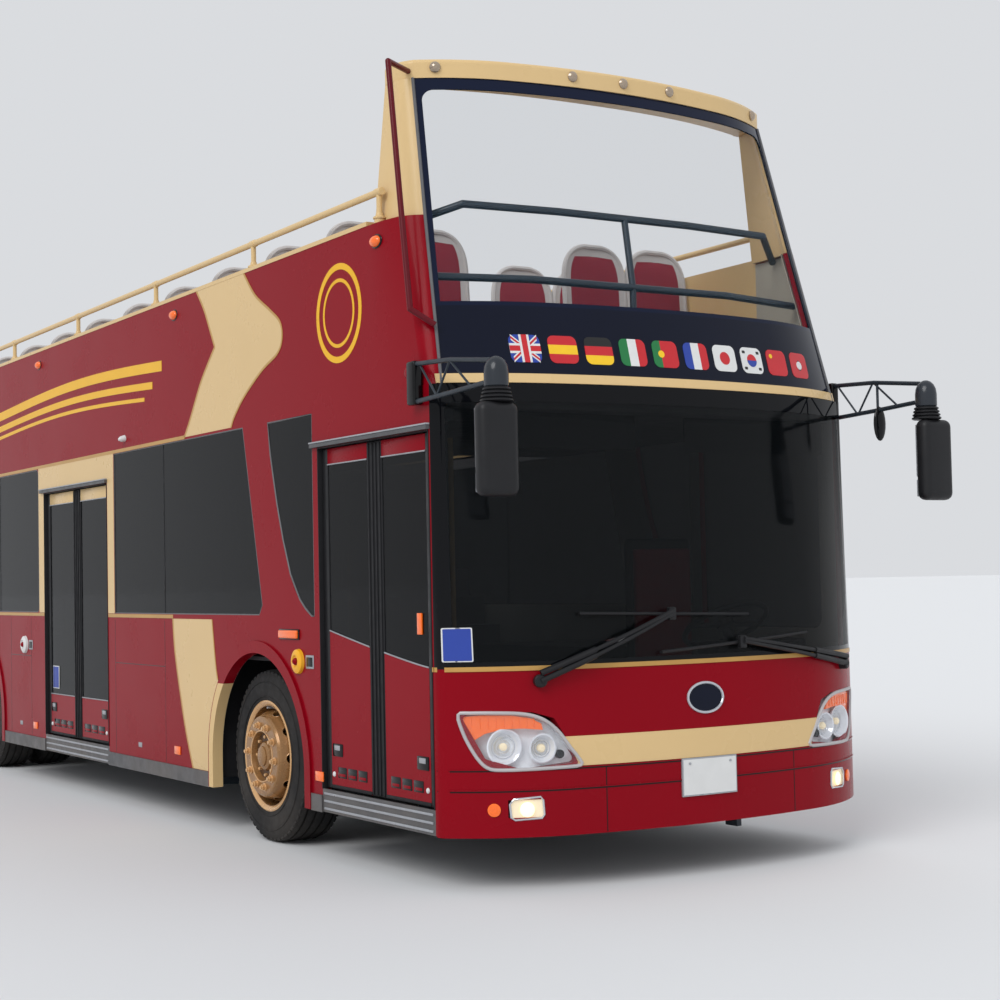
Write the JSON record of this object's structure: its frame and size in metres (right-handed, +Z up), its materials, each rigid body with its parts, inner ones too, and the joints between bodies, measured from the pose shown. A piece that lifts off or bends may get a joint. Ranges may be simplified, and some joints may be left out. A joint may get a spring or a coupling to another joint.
{
  "type": "open top double decker bus",
  "caption": "Open top double decker sightseeing bus, red with cream bands, upper windscreen, gliding doors, steered front wheels.",
  "frame": {"origin": "bottom centre of the bounding box, on the ground under the middle of the bus", "axes": "+Z up; front of the bus towards -Y, so +Y runs rearwards along its length; +X towards its left (driver) side, so the doors are on the -X side"},
  "size_m": [2.785, 11.278, 3.945],
  "materials": {
    "red": "gloss",
    "cream": "gloss",
    "navy": "gloss",
    "clear_glass": "polished",
    "tinted_glass": "polished",
    "black_plastic": "matte",
    "grey_floor": "matte",
    "seat_shell": "satin",
    "dark_metal": "satin",
    "aluminium": "satin",
    "tyre_rubber": "matte",
    "rim_gold": "gloss",
    "cast_iron": "rough",
    "lamp": "gloss"
  },
  "bodies": {
    "bus": {"side_wall_right": "red", "side_wall_left": "red", "rear_wall": "red", "front_panel": "red", "upper_corners": "red", "front_apron": "navy", "windscreen_hood": "cream", "deck_rails": "cream", "deck_capping": "cream", "rail_posts": "cream", "upper_windscreen": "clear_glass", "lower_windscreen": "clear_glass", "side_glass": "tinted_glass", "upper_deck": "grey_floor", "lower_deck": "grey_floor", "wheel_boxes": "grey_floor", "staircase": "grey_floor", "guard_rail": "dark_metal", "grab_poles": "cream", "seats_upper": "seat_shell", "seats_lower": "seat_shell", "dashboard": "black_plastic", "chassis_frame": "dark_metal", "cross_members": "dark_metal", "engine_block": "cast_iron", "front_axle": "cast_iron", "rear_axle": "cast_iron", "mirrors": "black_plastic", "branch_guard": "red", "lamp_units": "lamp", "skirt_trim": "aluminium", "door_gear": "dark_metal"},
    "knuckle_r": {"knuckle_right": "cast_iron"},
    "knuckle_l": {"knuckle_left": "cast_iron"},
    "wheel_front_r": {"tyre_front_right": "tyre_rubber", "rim_front_right": "rim_gold"},
    "wheel_front_l": {"tyre_front_left": "tyre_rubber", "rim_front_left": "rim_gold"},
    "wheels_rear_r": {"tyres_rear_right": "tyre_rubber", "rims_rear_right": "rim_gold"},
    "wheels_rear_l": {"tyres_rear_left": "tyre_rubber", "rims_rear_left": "rim_gold"},
    "steering_wheel_body": {"steering_wheel": "black_plastic"},
    "arm_front_a": {"door_arm_front_a": "dark_metal"},
    "leaf_front_a": {"door_leaf_front_a": "red"},
    "arm_front_b": {"door_arm_front_b": "dark_metal"},
    "leaf_front_b": {"door_leaf_front_b": "red"},
    "arm_mid_a": {"door_arm_mid_a": "dark_metal"},
    "leaf_mid_a": {"door_leaf_mid_a": "red"},
    "arm_mid_b": {"door_arm_mid_b": "dark_metal"},
    "leaf_mid_b": {"door_leaf_mid_b": "red"}
  },
  "joints": [
    {"name": "steer_r", "type": "hinge", "parent": "bus", "child": "knuckle_r", "pos_m": [-0.8, -2.984, 0.47], "axis": [0, 0, 1], "range_deg": [-38, 38]},
    {"name": "steer_l", "type": "hinge", "parent": "bus", "child": "knuckle_l", "pos_m": [0.8, -2.984, 0.47], "axis": [0, 0, 1], "range_deg": [-38, 38]},
    {"name": "spin_front_r", "type": "hinge", "parent": "knuckle_r", "child": "wheel_front_r", "pos_m": [-1.058, -2.984, 0.47], "axis": [1, 0, 0], "continuous": true},
    {"name": "spin_rear_r", "type": "hinge", "parent": "bus", "child": "wheels_rear_r", "pos_m": [-0.885, 2.384, 0.47], "axis": [1, 0, 0], "continuous": true},
    {"name": "spin_front_l", "type": "hinge", "parent": "knuckle_l", "child": "wheel_front_l", "pos_m": [1.058, -2.984, 0.47], "axis": [1, 0, 0], "continuous": true},
    {"name": "spin_rear_l", "type": "hinge", "parent": "bus", "child": "wheels_rear_l", "pos_m": [0.885, 2.384, 0.47], "axis": [1, 0, 0], "continuous": true},
    {"name": "steering_wheel_turn", "type": "hinge", "parent": "bus", "child": "steering_wheel_body", "pos_m": [0.67, -4.686, 1.12], "axis": [0, 0.5, 0.866], "range_deg": [-456, 456]},
    {"name": "arm_front_a_swing", "type": "hinge", "parent": "bus", "child": "arm_front_a", "pos_m": [-1.175, -4.955, 1.2], "axis": [0, 0, -1], "range_deg": [0, 80]},
    {"name": "leaf_front_a_fold", "type": "hinge", "parent": "arm_front_a", "child": "leaf_front_a", "pos_m": [-1.175, -4.6705, 1.2], "axis": [0, 0, -1], "range_deg": [-160, 0]},
    {"name": "arm_front_b_swing", "type": "hinge", "parent": "bus", "child": "arm_front_b", "pos_m": [-1.175, -3.761, 1.2], "axis": [0, 0, 1], "range_deg": [0, 80]},
    {"name": "leaf_front_b_fold", "type": "hinge", "parent": "arm_front_b", "child": "leaf_front_b", "pos_m": [-1.175, -4.0455, 1.2], "axis": [0, 0, 1], "range_deg": [-160, 0]},
    {"name": "arm_mid_a_swing", "type": "hinge", "parent": "bus", "child": "arm_mid_a", "pos_m": [-1.175, -0.631, 1.2], "axis": [0, 0, -1], "range_deg": [0, 80]},
    {"name": "leaf_mid_a_fold", "type": "hinge", "parent": "arm_mid_a", "child": "leaf_mid_a", "pos_m": [-1.175, -0.30125, 1.2], "axis": [0, 0, -1], "range_deg": [-160, 0]},
    {"name": "arm_mid_b_swing", "type": "hinge", "parent": "bus", "child": "arm_mid_b", "pos_m": [-1.175, 0.744, 1.2], "axis": [0, 0, 1], "range_deg": [0, 80]},
    {"name": "leaf_mid_b_fold", "type": "hinge", "parent": "arm_mid_b", "child": "leaf_mid_b", "pos_m": [-1.175, 0.41425, 1.2], "axis": [0, 0, 1], "range_deg": [-160, 0]}
  ],
  "couplings": [
    {"joint": "steer_r", "follows": "steer_l", "ratio": 1},
    {"joint": "steering_wheel_turn", "follows": "steer_l", "ratio": 12},
    {"joint": "leaf_front_a_fold", "follows": "arm_front_a_swing", "ratio": -2},
    {"joint": "leaf_front_b_fold", "follows": "arm_front_b_swing", "ratio": -2},
    {"joint": "leaf_mid_a_fold", "follows": "arm_mid_a_swing", "ratio": -2},
    {"joint": "leaf_mid_b_fold", "follows": "arm_mid_b_swing", "ratio": -2}
  ]
}
